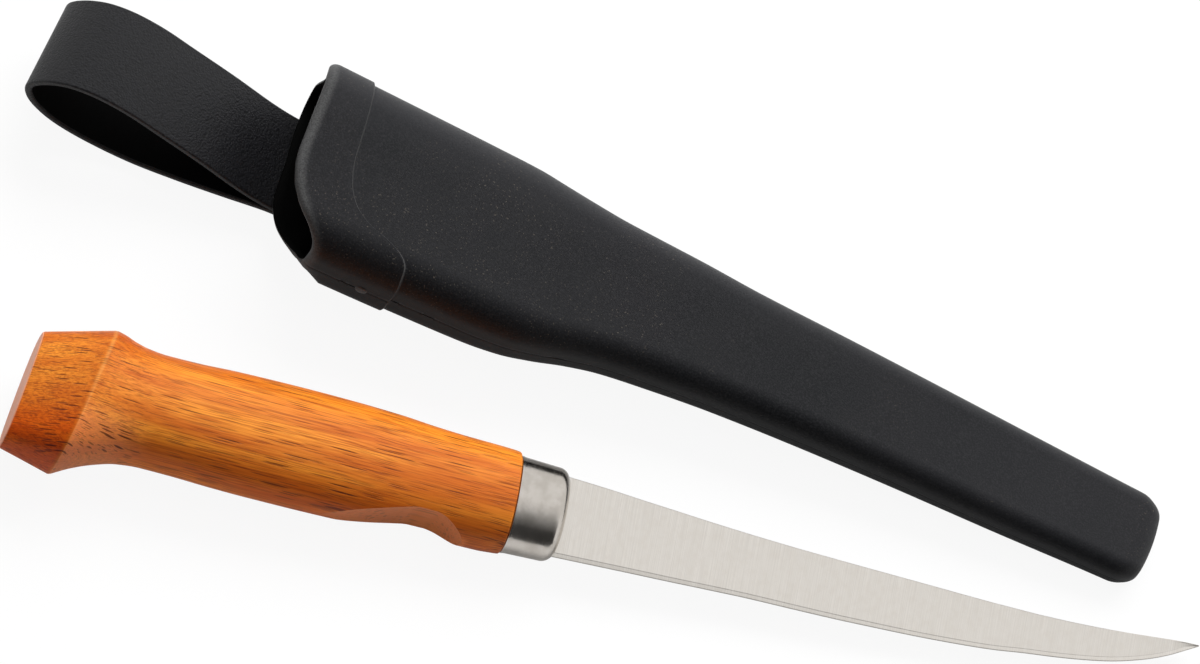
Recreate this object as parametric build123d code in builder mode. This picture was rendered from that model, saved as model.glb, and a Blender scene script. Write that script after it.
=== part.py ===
from build123d import *
import os
from math import atan2, copysign, cos, degrees, pi, radians, sin

# Fillet knife with a carved hardwood handle, laid beside the moulded belt sheath that it is kept in.
# Both lie on one surface, z = 0. +X runs along the sheath from belt loop to tip, +Z is up, and the
# origin is on that surface under the middle of the pair.

os.makedirs("parts", exist_ok=True)

# Sizes, in millimetres, and angles, in degrees

# Blade and tang
blade_length = 155.1
blade_depth = 21.15
blade_thickness = 2.0
edge_thickness = 0.16
bevel_height = 1.5
tang_length = 92.0
tang_depth = 10.0
tang_end_depth = 7.0
tang_thickness = 1.8
tang_corner = 1.5

# Ferrule
ferrule_length = 12.0
ferrule_depth = 23.5
ferrule_thickness = 18.0
ferrule_wall = 0.9
ferrule_front_wall = 1.4
ferrule_edge_radius = 2.8
ferrule_front_share = 0.960

# Handle
handle_length = 119.15
handle_depth = 29.8
handle_thickness = 20.0

# Bore for the tang, filled with adhesive
bore_side_gap = 0.8
bore_end_gap = 2.0

# Fits in the knife
slot_clearance = 0.1
nose_clearance = 0.1

# Sheath mouldings
sheath_length = 220.7
sheath_width = 46.6
sheath_thickness = 24.4
sheath_wall = 1.8
sheath_end_wall = 2.4
sheath_end_radius = 3.4
collar_step = 0.7
corner_drop = 5.0

# Belt strap
strap_width = 23.6
strap_thickness = 1.8
strap_lap = 44.0
loop_reach = 63.7
loop_height = 27.0
strap_gap = 0.1

# Rivets through the strap and the back of the sheath
rivet_radius = 1.5
rivet_head_radius = 4.1
rivet_head_height = 1.0
rivet_head_slope = 30.0
rivet_spread_share = 0.26
rivet_setback = 20.0
rivet_clearance = 0.1
washer_radius = 2.6
washer_height = 0.6
washer_gap = 0.05

# Pin in the seam below the mouth
pin_setback = 25.7
pin_radius = 0.9
pin_head_radius = 1.5
pin_head_height = 0.5
pin_clearance = 0.05

# Where the two lie
sheath_dip = 4.2
knife_turn = 10.3
mouth_x = -87.8
sheath_y = 39.3
joint_ahead = 77.4
joint_below = 59.0

# How far a cut runs past the material
overrun = 5.0

# Blade outline: place along the blade, spine and edge as shares of the depth, thickness share
blade_shares = [
    (0.000, 0.478, -0.494, 1.00),
    (0.061, 0.457, -0.473, 0.99),
    (0.120, 0.428, -0.453, 0.97),
    (0.178, 0.402, -0.435, 0.95),
    (0.240, 0.374, -0.413, 0.92),
    (0.307, 0.350, -0.392, 0.89),
    (0.370, 0.334, -0.372, 0.86),
    (0.437, 0.323, -0.352, 0.82),
    (0.500, 0.315, -0.330, 0.78),
    (0.566, 0.307, -0.305, 0.74),
    (0.625, 0.299, -0.276, 0.70),
    (0.682, 0.293, -0.243, 0.66),
    (0.735, 0.293, -0.199, 0.62),
    (0.786, 0.302, -0.149, 0.58),
    (0.830, 0.318, -0.095, 0.54),
    (0.870, 0.340, -0.031, 0.50),
    (0.902, 0.362, 0.042, 0.47),
    (0.932, 0.386, 0.128, 0.44),
    (0.958, 0.406, 0.222, 0.40),
    (0.980, 0.419, 0.319, 0.35),
    (1.000, 0.425, 0.409, 0.28),
]
shoulder_share = 0.62
tip_bevel_share = 0.5

# Handle sections from the ferrule back to the ridge: place along the handle, centre and depth as
# shares of the handle's depth, thickness share, squareness of the oval, slant in degrees
handle_shares = [
    (0.000, 0.007, 0.832, 0.930, 2.2, 0),
    (0.020, 0.007, 0.850, 0.932, 2.2, 0),
    (0.050, 0.007, 0.862, 0.925, 2.2, 0),
    (0.090, 0.010, 0.870, 0.920, 2.2, 0),
    (0.122, 0.024, 0.856, 0.918, 2.2, 0),
    (0.151, 0.046, 0.833, 0.920, 2.2, 0),
    (0.185, 0.052, 0.829, 0.925, 2.2, 0),
    (0.218, 0.048, 0.866, 0.935, 2.2, 0),
    (0.252, 0.038, 0.903, 0.950, 2.2, 0),
    (0.294, 0.026, 0.940, 0.970, 2.2, 0),
    (0.353, 0.007, 0.987, 0.990, 2.2, 0),
    (0.440, 0.003, 1.000, 1.000, 2.2, 0),
    (0.520, 0.001, 0.998, 1.003, 2.2, 0),
    (0.587, 0.000, 0.988, 1.010, 2.2, 0),
    (0.671, -0.002, 0.958, 1.030, 2.2, 0),
    (0.735, -0.002, 0.950, 1.070, 2.2, 1),
    (0.776, -0.004, 0.977, 1.120, 2.25, 3),
    (0.812, -0.018, 1.057, 1.180, 2.3, 7),
    (0.845, -0.036, 1.155, 1.250, 2.4, 10),
    (0.874, -0.072, 1.262, 1.320, 2.5, 13),
]
butt_shares = (1.000, -0.096, 1.020, 0.860, 2.5, 9)
oval_points = 24

# Sheath sections from mouth to tip: place along the sheath, lower and upper edge as shares of the
# mouth's width, thickness share, corner radius as a share of the thickness there
sheath_shares = [
    (0.000, -0.590, 0.410, 1.000, 0.33),
    (0.116, -0.584, 0.392, 0.984, 0.33),
    (0.189, -0.577, 0.381, 0.960, 0.33),
    (0.243, -0.571, 0.373, 0.925, 0.34),
    (0.280, -0.556, 0.356, 0.875, 0.35),
    (0.316, -0.519, 0.340, 0.790, 0.35),
    (0.352, -0.470, 0.327, 0.720, 0.36),
    (0.388, -0.432, 0.319, 0.680, 0.36),
    (0.443, -0.401, 0.307, 0.648, 0.37),
    (0.515, -0.369, 0.283, 0.615, 0.37),
    (0.624, -0.343, 0.262, 0.574, 0.37),
    (0.733, -0.328, 0.237, 0.533, 0.37),
    (0.842, -0.319, 0.211, 0.484, 0.37),
    (0.950, -0.306, 0.187, 0.434, 0.38),
    (1.000, -0.302, 0.177, 0.410, 0.38),
]

# Step of the collar round the mouth: place along the sheath and across it, as shares of the
# mouth's width, from the upper edge to the lower edge
collar_shares = [
    (0.205, 0.50),
    (0.272, -0.20),
    (0.430, -0.38),
    (0.600, -0.44),
    (0.670, -0.49),
    (0.700, -0.70),
]

# Slanted lower corner of the mouth, in the same shares, cut deeper on the back than on the front
front_corner_shares = [(0.0, -0.285), (0.045, -0.355), (0.180, -0.510), (0.236, -0.590), (0.250, -0.700)]
back_corner_shares = [(0.0, -0.265), (0.055, -0.325), (0.165, -0.455), (0.300, -0.570), (0.400, -0.700)]

# Belt loop: distance from the mouth and height above the surface, as shares of the loop's reach
# and height, from the upper layer round the fold to the lower one
loop_shares = [
    (0.124, 0.356),
    (0.310, 0.567),
    (0.496, 0.756),
    (0.608, 0.867),
    (0.702, 0.930),
    (0.792, 0.956),
    (0.878, 0.926),
    (0.949, 0.815),
    (0.992, 0.652),
    (0.980, 0.489),
    (0.930, 0.330),
    (0.837, 0.181),
    (0.704, 0.085),
    (0.527, 0.036),
    (0.350, 0.063),
    (0.175, 0.122),
]

def sheath_size(shares):
    """Place, lower edge, upper edge, thickness and corner radius of one sheath section."""
    place, low, high, thickness, corner = shares
    full = thickness * sheath_thickness
    return place * sheath_length, low * sheath_width, high * sheath_width, full, corner * full


def sheath_at(place):
    """Lower edge, upper edge and thickness of the plain sheath at a place along it."""
    rows = [sheath_size(shares) for shares in sheath_shares]
    for before, after in zip(rows, rows[1:]):
        if before[0] <= place <= after[0]:
            part = (place - before[0]) / (after[0] - before[0])
            return [start + part * (end - start) for start, end in zip(before[1:4], after[1:4])]
    return list(rows[-1][1:4])


# Frames of the two objects: x along each from its own reference, y across towards the spine, z up.
# The sheath rests on its end and on the belt loop, the knife on the flare and the nose of its handle.
end_seat = sheath_length - sheath_end_radius
end_half = sheath_at(end_seat)[2] / 2
end_rise = (end_half - sheath_end_radius) * cos(radians(sheath_dip)) + sheath_end_radius
mouth_height = end_rise + end_seat * sin(radians(sheath_dip))
sheath_frame = Pos(mouth_x, sheath_y, mouth_height) * Rot(Y=sheath_dip)

ridge_place = handle_shares[-1][0] * handle_length
ridge_half = handle_shares[-1][3] * handle_thickness / 2
nose_half = handle_shares[0][3] * handle_thickness / 2
knife_dip = atan2(ridge_half - nose_half, ridge_place)
joint_height = nose_half * cos(knife_dip)
knife_lie = Rot(Z=knife_turn) * Rot(Y=degrees(knife_dip))
knife_frame = Pos(mouth_x + joint_ahead, sheath_y - joint_below, joint_height) * knife_lie


def knife_section(place, centre=0.0, slant=0.0):
    """Plane across the knife, x along its depth and y along its thickness."""
    lean = radians(slant)
    depth_way = (sin(lean), cos(lean), 0)
    length_way = (cos(lean), -sin(lean), 0)
    section = Plane((place, centre, 0), x_dir=depth_way, z_dir=length_way)
    return Plane(knife_frame * section.location)


def sheath_section(place, centre=0.0):
    """Plane across the sheath, x along its width and y along its thickness."""
    section = Plane((place, centre, 0), x_dir=(0, 1, 0), z_dir=(1, 0, 0))
    return Plane(sheath_frame * section.location)


def sheath_level(height):
    """Plane along the sheath at a height above its middle plane."""
    return Plane(sheath_frame * Pos(0, 0, height))


def sheath_side(place, across, facing):
    """Plane on the side of the sheath, x along it, that faces across it."""
    side = Plane((place, across, 0), x_dir=(1, 0, 0), z_dir=(0, facing, 0))
    return Plane(sheath_frame * side.location)


def oval(depth, thickness, squareness):
    """Points of a squared oval, counter-clockwise from the spine side."""
    points = []
    for step in range(oval_points):
        angle = 2 * pi * step / oval_points
        along = copysign(abs(cos(angle)) ** (2 / squareness), cos(angle))
        up = copysign(abs(sin(angle)) ** (2 / squareness), sin(angle))
        points.append((along * depth / 2, up * thickness / 2))
    return points


def handle_section(shares):
    """Place, centre, depth, thickness, squareness and slant of one handle section."""
    place, centre, depth, thickness, squareness, slant = shares
    return (
        -place * handle_length,
        centre * handle_depth,
        depth * handle_depth,
        thickness * handle_thickness,
        squareness,
        slant,
    )


def ferrule_oval(place, inset):
    """Oval of the ferrule at a place along it, drawn in by an inset all round."""
    taper = 1 - (1 - ferrule_front_share) * place / ferrule_length
    squareness = handle_shares[0][4]
    return oval(ferrule_depth * taper - 2 * inset, ferrule_thickness * taper - 2 * inset, squareness)


def over_surface(reach, height):
    """Point beyond the mouth, in the sheath's own x and z, at a height above the surface."""
    dip = radians(sheath_dip)
    return -reach, (height - mouth_height - reach * sin(dip)) / cos(dip)


# Blade, with the stick tang that runs on into the handle
heel = ferrule_length
heel_seat = ferrule_length - ferrule_front_wall
nose_end = heel_seat - nose_clearance
tang_end = heel - tang_length

with BuildPart() as blade:
    for place_share, spine_share, edge_share, thickness_share in blade_shares:
        spine = spine_share * blade_depth
        edge = edge_share * blade_depth
        half_spine = thickness_share * blade_thickness / 2
        half_shoulder = half_spine * shoulder_share
        shoulder = edge + min(bevel_height, tip_bevel_share * (spine - edge))
        with BuildSketch(knife_section(heel + place_share * blade_length)):
            with BuildLine():
                Polyline(
                    (spine, half_spine),
                    (shoulder, half_shoulder),
                    (edge, edge_thickness / 2),
                    (edge, -edge_thickness / 2),
                    (shoulder, -half_shoulder),
                    (spine, -half_spine),
                    close=True,
                )
            make_face()
    loft(ruled=True)
    heel_spine = blade_shares[0][1] * blade_depth
    heel_edge = blade_shares[0][2] * blade_depth
    with BuildSketch(knife_section(heel_seat, (heel_spine + heel_edge) / 2)):
        Rectangle(heel_spine - heel_edge, tang_thickness)
    extrude(amount=ferrule_front_wall)
    with BuildSketch(Plane(knife_frame)):
        with BuildLine():
            Polyline(
                (heel_seat, tang_depth / 2),
                (heel_seat, -tang_depth / 2),
                (tang_end, -tang_end_depth / 2),
                (tang_end, tang_end_depth / 2),
                close=True,
            )
        make_face()
        fillet(vertices().group_by(Axis.X)[0], radius=tang_corner)
    extrude(amount=tang_thickness / 2, both=True)
blade.part.label = "blade"
export_step(blade.part, "parts/blade.step")

# Ferrule, a pressed steel cap over the nose of the handle, with a slot for the heel of the blade
with BuildPart() as ferrule:
    for place in (0, ferrule_length / 2, ferrule_length):
        with BuildSketch(knife_section(place)):
            with BuildLine():
                Spline(*ferrule_oval(place, 0), periodic=True)
            make_face()
    loft()
    front_face = ferrule.faces().sort_by(Axis((0, 0, 0), knife_section(0).z_dir))[-1]
    fillet(front_face.edges(), radius=ferrule_edge_radius)
    for place in (0, heel_seat / 2, heel_seat):
        with BuildSketch(knife_section(place)):
            with BuildLine():
                Spline(*ferrule_oval(place, ferrule_wall), periodic=True)
            make_face()
    loft(mode=Mode.SUBTRACT)
    with BuildSketch(knife_section(heel_seat, (heel_spine + heel_edge) / 2)):
        Rectangle(heel_spine - heel_edge + 2 * slot_clearance, tang_thickness + 2 * slot_clearance)
    extrude(amount=ferrule_front_wall + overrun, both=True, mode=Mode.SUBTRACT)
ferrule.part.label = "ferrule"
export_step(ferrule.part, "parts/ferrule.step")

# Handle, one piece of hardwood: nose in the ferrule, carved grip, flared butt, and the tang's bore
bore_depth = tang_depth + 2 * bore_side_gap
bore_thickness = tang_thickness + 2 * bore_side_gap
bore_end = tang_end - bore_end_gap

with BuildPart() as handle:
    for row in handle_shares:
        place, centre, depth, thickness, squareness, slant = handle_section(row)
        with BuildSketch(knife_section(place, centre, slant)):
            with BuildLine():
                Spline(*oval(depth, thickness, squareness), periodic=True)
            make_face()
    loft(ruled=True)
    for row in (handle_shares[-1], butt_shares):
        place, centre, depth, thickness, squareness, slant = handle_section(row)
        with BuildSketch(knife_section(place, centre, slant)):
            with BuildLine():
                Spline(*oval(depth, thickness, squareness), periodic=True)
            make_face()
    loft(ruled=True)
    for place in (0, nose_end):
        with BuildSketch(knife_section(place)):
            with BuildLine():
                Spline(*ferrule_oval(place, ferrule_wall + nose_clearance), periodic=True)
            make_face()
    loft(ruled=True)
    with BuildSketch(knife_section(bore_end)):
        Rectangle(bore_depth, bore_thickness)
    extrude(amount=nose_end - bore_end, mode=Mode.SUBTRACT)
handle.part.label = "handle"
export_step(handle.part, "parts/handle.step")

# Adhesive that fills the bore round the tang
with BuildPart() as tang_adhesive:
    with BuildSketch(knife_section(bore_end)):
        Rectangle(bore_depth, bore_thickness)
    extrude(amount=nose_end - bore_end)
    add(blade.part, mode=Mode.SUBTRACT)
tang_adhesive.part.label = "tang_adhesive"
export_step(tang_adhesive.part, "parts/tang_adhesive.step")

# Sheath, two mouldings that meet on the middle plane, with a collar standing proud round the mouth
pin_edge = sheath_at(pin_setback)[0] - collar_step - pin_clearance
back_face = -sheath_thickness / 2
rivet_side = rivet_spread_share * sheath_width / 2
rivet_places = [(rivet_setback, -rivet_side), (rivet_setback, rivet_side)]


def mouth_corner(corner_shares):
    """Outline of what is cut away at the mouth's lower corner, along the sheath and across it."""
    points = [(along * sheath_width, across * sheath_width) for along, across in corner_shares]
    return [(-overrun, points[0][1]), *points, (-overrun, points[-1][1])]


def sheath_half(keep):
    """One half of the sheath, hollow, on the kept side of its middle plane."""
    with BuildPart() as half:
        for row in sheath_shares[:4]:
            place, low, high, thickness, corner = sheath_size(row)
            with BuildSketch(sheath_section(place, (low + high) / 2)):
                RectangleRounded(
                    high - low + 2 * collar_step,
                    thickness + 2 * collar_step,
                    corner + collar_step,
                )
        loft(ruled=True)
        with BuildSketch(sheath_level(0)):
            with BuildLine():
                Polyline(
                    (0, collar_shares[0][1] * sheath_width),
                    *[(along * sheath_width, across * sheath_width) for along, across in collar_shares],
                    (0, collar_shares[-1][1] * sheath_width),
                    close=True,
                )
            make_face()
        extrude(amount=sheath_thickness, both=True, mode=Mode.INTERSECT)
        for row in sheath_shares:
            place, low, high, thickness, corner = sheath_size(row)
            with BuildSketch(sheath_section(place, (low + high) / 2)):
                RectangleRounded(high - low, thickness, corner)
        loft(ruled=True)
        end_face = half.faces().sort_by(Axis((0, 0, 0), sheath_section(0).z_dir))[-1]
        fillet(end_face.edges(), radius=sheath_end_radius)
        for row in sheath_shares:
            place, low, high, thickness, corner = sheath_size(row)
            inside = min(place, sheath_length - sheath_end_wall)
            with BuildSketch(sheath_section(inside, (low + high) / 2)):
                RectangleRounded(
                    high - low - 2 * sheath_wall,
                    thickness - 2 * sheath_wall,
                    corner - sheath_wall,
                )
        loft(ruled=True, mode=Mode.SUBTRACT)
        with BuildSketch(sheath_level(0)):
            with BuildLine():
                Polyline(*mouth_corner(front_corner_shares), close=True)
            make_face()
        extrude(amount=sheath_thickness, mode=Mode.SUBTRACT)
        for drop, corner_shares in ((0, front_corner_shares), (corner_drop, back_corner_shares)):
            with BuildSketch(sheath_level(-drop)):
                with BuildLine():
                    Polyline(*mouth_corner(corner_shares), close=True)
                make_face()
        loft(ruled=True, mode=Mode.SUBTRACT)
        with BuildSketch(sheath_level(-corner_drop)):
            with BuildLine():
                Polyline(*mouth_corner(back_corner_shares), close=True)
            make_face()
        extrude(amount=-sheath_thickness, mode=Mode.SUBTRACT)
        with BuildSketch(sheath_side(pin_setback, pin_edge, 1)):
            Circle(pin_radius + pin_clearance)
        extrude(amount=sheath_wall + overrun, both=True, mode=Mode.SUBTRACT)
        with BuildSketch(sheath_level(back_face)):
            with Locations(*rivet_places):
                Circle(rivet_radius + rivet_clearance)
        extrude(amount=sheath_wall + overrun, both=True, mode=Mode.SUBTRACT)
        split(bisect_by=sheath_level(0), keep=keep)
    return half


sheath_front_shell = sheath_half(Keep.TOP)
sheath_front_shell.part.label = "sheath_front_shell"
export_step(sheath_front_shell.part, "parts/sheath_front_shell.step")

sheath_back_shell = sheath_half(Keep.BOTTOM)
sheath_back_shell.part.label = "sheath_back_shell"
export_step(sheath_back_shell.part, "parts/sheath_back_shell.step")

# Belt strap, one strip folded to a loop, its two ends lapped behind the mouth
upper_layer = back_face - collar_step - strap_gap - strap_thickness / 2
lower_layer = upper_layer - strap_thickness - strap_gap

with BuildPart() as belt_strap:
    with BuildSketch(sheath_side(0, 0, -1)):
        with BuildLine():
            loop_points = [
                over_surface(reach * loop_reach, height * loop_height) for reach, height in loop_shares
            ]
            Line((strap_lap, upper_layer), (0, upper_layer))
            Spline(
                (0, upper_layer),
                *loop_points,
                (0, lower_layer),
                tangents=[(-1, 0), (1, 0)],
            )
            Line((0, lower_layer), (strap_lap, lower_layer))
        trace(line_width=strap_thickness)
    extrude(amount=strap_width / 2, both=True)
    with BuildSketch(sheath_level(lower_layer)):
        with Locations(*rivet_places):
            Circle(rivet_radius + rivet_clearance)
    extrude(amount=2 * strap_thickness, both=True, mode=Mode.SUBTRACT)
belt_strap.part.label = "belt_strap"
export_step(belt_strap.part, "parts/belt_strap.step")

# Rivets, with domed heads under the strap and shanks that end in washers inside the sheath
strap_underside = lower_layer - strap_thickness / 2
inner_face = sheath_wall - sheath_at(rivet_setback)[2] / 2 + washer_gap
shank_end = inner_face + washer_height

with BuildPart() as strap_rivets:
    with BuildSketch(sheath_level(strap_underside)):
        with Locations(*rivet_places):
            Circle(rivet_head_radius)
    extrude(amount=-rivet_head_height, taper=rivet_head_slope)
    with BuildSketch(sheath_level(strap_underside)):
        with Locations(*rivet_places):
            Circle(rivet_radius)
    extrude(amount=shank_end - strap_underside)
strap_rivets.part.label = "strap_rivets"
export_step(strap_rivets.part, "parts/strap_rivets.step")

with BuildPart() as rivet_washers:
    with BuildSketch(sheath_level(inner_face)):
        with Locations(*rivet_places):
            Circle(washer_radius)
            Circle(rivet_radius, mode=Mode.SUBTRACT)
    extrude(amount=washer_height)
rivet_washers.part.label = "rivet_washers"
export_step(rivet_washers.part, "parts/rivet_washers.step")

# Pin driven into the seam below the mouth
with BuildPart() as seam_pin:
    with BuildSketch(sheath_side(pin_setback, pin_edge, 1)):
        Circle(pin_radius)
    extrude(amount=sheath_wall + collar_step)
    with BuildSketch(sheath_side(pin_setback, pin_edge, -1)):
        Circle(pin_head_radius)
    extrude(amount=pin_head_height)
seam_pin.part.label = "seam_pin"
export_step(seam_pin.part, "parts/seam_pin.step")
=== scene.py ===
from bisect import bisect_right
from math import atan2, cos, copysign, pi, radians, sin

import bmesh
import bpy
from mathutils import Matrix, Vector


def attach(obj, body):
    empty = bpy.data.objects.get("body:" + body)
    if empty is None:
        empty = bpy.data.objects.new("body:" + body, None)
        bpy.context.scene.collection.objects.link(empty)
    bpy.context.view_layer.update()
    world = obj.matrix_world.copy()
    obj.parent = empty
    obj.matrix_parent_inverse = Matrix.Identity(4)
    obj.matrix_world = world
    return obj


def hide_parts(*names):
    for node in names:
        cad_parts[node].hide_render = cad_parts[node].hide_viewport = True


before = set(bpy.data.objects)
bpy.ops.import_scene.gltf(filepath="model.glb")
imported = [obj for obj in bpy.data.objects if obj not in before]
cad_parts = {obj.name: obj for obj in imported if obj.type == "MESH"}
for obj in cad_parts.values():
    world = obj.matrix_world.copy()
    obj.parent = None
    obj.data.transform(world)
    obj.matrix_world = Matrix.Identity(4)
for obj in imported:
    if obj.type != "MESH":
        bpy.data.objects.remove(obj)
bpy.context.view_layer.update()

# Sizes in millimetres, angles in degrees. Each object is built in its own frame, x along it, y across
# it towards the spine and z up, and is then laid down on the surface.
MM = 0.001
weld_distance = 0.002 * MM

# Where the two lie
sheath_length = 220.7
sheath_end_radius = 3.4
sheath_dip = 4.2
mouth_x = -87.8
sheath_y = 39.3
end_half_thickness = 5.09
knife_turn = 10.3
joint_x = -10.4
joint_y = -19.7
nose_half_thickness = 9.3
ridge_half_thickness = 13.2
ridge_place = 104.14

end_seat = sheath_length - sheath_end_radius
end_rise = (end_half_thickness - sheath_end_radius) * cos(radians(sheath_dip)) + sheath_end_radius
mouth_height = end_rise + end_seat * sin(radians(sheath_dip))
sheath_frame = Matrix.Translation((mouth_x * MM, sheath_y * MM, mouth_height * MM))
sheath_frame = sheath_frame @ Matrix.Rotation(radians(sheath_dip), 4, "Y")

knife_dip = atan2(ridge_half_thickness - nose_half_thickness, ridge_place)
joint_height = nose_half_thickness * cos(knife_dip)
knife_frame = Matrix.Translation((joint_x * MM, joint_y * MM, joint_height * MM))
knife_frame = knife_frame @ Matrix.Rotation(radians(knife_turn), 4, "Z") @ Matrix.Rotation(knife_dip, 4, "Y")


# Curves and meshes

def curve(rows):
    """Function of the rows' first column that runs smoothly, with no overshoot, through the others."""
    xs = [row[0] for row in rows]
    columns = []
    for k in range(1, len(rows[0])):
        ys = [row[k] for row in rows]
        steps = [(d - c) / (b - a) for a, b, c, d in zip(xs, xs[1:], ys, ys[1:])]
        bends = [2 * s * t / (s + t) if s * t > 0 else 0 for s, t in zip(steps, steps[1:])]
        columns.append((ys, [steps[0]] + bends + [steps[-1]]))

    def at(x):
        i = min(max(bisect_right(xs, x) - 1, 0), len(xs) - 2)
        span = xs[i + 1] - xs[i]
        t = min(max((x - xs[i]) / span, 0), 1)
        out = []
        for ys, slopes in columns:
            start = (1 + 2 * t) * (1 - t) ** 2 * ys[i] + t * t * (3 - 2 * t) * ys[i + 1]
            turn = t * (1 - t) ** 2 * slopes[i] - t * t * (1 - t) * slopes[i + 1]
            out.append(start + span * turn)
        return out

    return at


def eased(value, low, high):
    """Share from 0 at low to 1 at high, smooth at both ends."""
    share = min(max((value - low) / (high - low), 0), 1)
    return share * share * (3 - 2 * share)


def spread(start, end, count):
    """Count evenly spaced values from start to end, both included."""
    return [start + (end - start) * k / (count - 1) for k in range(count)]


def in_scene(name, data):
    """New object, linked to the scene."""
    thing = bpy.data.objects.new(name, data)
    bpy.context.scene.collection.objects.link(thing)
    return thing


def closed_mesh(name, rings, placed, split_ends=False, inner=range(0), first_inner=0, highlight_and_wear=None):
    """Closed mesh through rings of points, laid down by a frame. Split ends join the ring's two halves.
    From the first inner ring on, the inner steps of the rings get the piece's second material. Highlight
    and wear is a share for each point: painted highlight on edges, with some dust and wear on the lip."""
    count = len(rings[0])
    last = (len(rings) - 1) * count
    faces = []
    for i in range(len(rings) - 1):
        for j in range(count):
            a, b = i * count + j, i * count + (j + 1) % count
            faces.append((a, b, b + count, a + count))
    if split_ends:
        for j in range(count // 2 - 1):
            faces.append((j, count - 1 - j, count - 2 - j, j + 1))
            faces.append((last + j, last + j + 1, last + count - 2 - j, last + count - 1 - j))
    else:
        faces.append(tuple(reversed(range(count))))
        faces.append(tuple(range(last, last + count)))
    mesh = bpy.data.meshes.new(name)
    mesh.from_pydata([placed @ (Vector(p) * MM) for ring in rings for p in ring], [], faces)
    for k in range(first_inner, len(rings) - 1):
        for j in inner:
            mesh.polygons[k * count + j].material_index = 1
    # The share of painted highlight, with some dust and wear, goes into a point attribute
    if highlight_and_wear:
        highlight_and_wear_share = mesh.attributes.new("highlight_and_wear", "FLOAT", "POINT")
        highlight_and_wear_share.data.foreach_set("value", [amount for ring in highlight_and_wear for amount in ring])
    work = bmesh.new()
    work.from_mesh(mesh)
    bmesh.ops.remove_doubles(work, verts=work.verts, dist=weld_distance)
    bmesh.ops.recalc_face_normals(work, faces=work.faces)
    work.to_mesh(mesh)
    work.free()
    return in_scene(name, mesh)


def dress(piece, material, body, crease, second=None):
    """Gives a piece its finish, shades it smooth up to a crease angle, and lets it ride on a body."""
    kept = [polygon.material_index for polygon in piece.data.polygons]
    piece.data.materials.clear()
    piece.data.materials.append(material)
    if second:
        piece.data.materials.append(second)
        piece.data.polygons.foreach_set("material_index", kept)
    piece.data.shade_smooth()
    piece.data.set_sharp_from_angle(angle=radians(crease))
    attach(piece, body)


def carve(piece, cutter):
    """Cuts the closed cutter out of the piece for good and throws the cutter away."""
    modifier = piece.modifiers.new("cut", "BOOLEAN")
    modifier.operation = "DIFFERENCE"
    modifier.solver = "EXACT"
    modifier.object = cutter
    bpy.context.view_layer.update()
    carved = piece.evaluated_get(bpy.context.evaluated_depsgraph_get())
    shape = bpy.data.meshes.new_from_object(carved)
    piece.modifiers.clear()
    piece.data = shape
    bpy.data.objects.remove(cutter)


# Materials. Scales are per metre, places in metres.

# How the ridge and the end of the butt tilt, as a share of the place across
ridge_tilt = 0.231
end_tilt = 0.158


class Nodes:
    """Node tree of a material or a world, with short calls for the nodes it needs."""

    def __init__(self, owner):
        owner.use_nodes = True
        self.tree = owner.node_tree
        self.tree.nodes.clear()

    def add(self, kind, **settings):
        node = self.tree.nodes.new(kind)
        for key, value in settings.items():
            setattr(node, key, value)
        return node

    def link(self, source, target):
        self.tree.links.new(source, target)

    def feed(self, socket, value):
        if isinstance(value, bpy.types.NodeSocket):
            self.link(value, socket)
        else:
            socket.default_value = value

    def ramp(self, value, low, high, start=0.0, end=1.0, shape="SMOOTHSTEP"):
        """Runs from start to end while the value runs from low to high."""
        node = self.add("ShaderNodeMapRange", interpolation_type=shape)
        self.feed(node.inputs["Value"], value)
        for key, number in zip(("From Min", "From Max", "To Min", "To Max"), (low, high, start, end)):
            node.inputs[key].default_value = number
        return node.outputs[0]

    def maths(self, operation, a, b=0.0):
        node = self.add("ShaderNodeMath", operation=operation)
        self.feed(node.inputs[0], a)
        self.feed(node.inputs[1], b)
        return node.outputs[0]

    def mix(self, amount, a, b, blend="MIX"):
        """Colour between two, or the first one changed by the second."""
        node = self.add("ShaderNodeMix", data_type="RGBA", blend_type=blend)
        self.feed(node.inputs[0], amount)
        self.feed(node.inputs[6], a)
        self.feed(node.inputs[7], b)
        return node.outputs[2]

    def split(self, vector):
        """The three parts of a vector."""
        node = self.add("ShaderNodeSeparateXYZ")
        self.link(vector, node.inputs[0])
        return node.outputs

    def seen_directly(self):
        """1 for rays from the camera, in mirrors and through glass, else 0."""
        rays = self.add("ShaderNodeLightPath").outputs
        seen = self.maths("MAXIMUM", rays["Is Camera Ray"], rays["Is Glossy Ray"])
        return self.maths("MAXIMUM", seen, rays["Is Transmission Ray"])

    def blend(self, amount, first, second):
        """Surface between two."""
        node = self.add("ShaderNodeMixShader")
        self.feed(node.inputs[0], amount)
        self.link(first.outputs[0], node.inputs[1])
        self.link(second.outputs[0], node.inputs[2])
        return node

    def end(self, kind, surface):
        self.link(surface.outputs[0], self.add(kind).inputs["Surface"])


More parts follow.
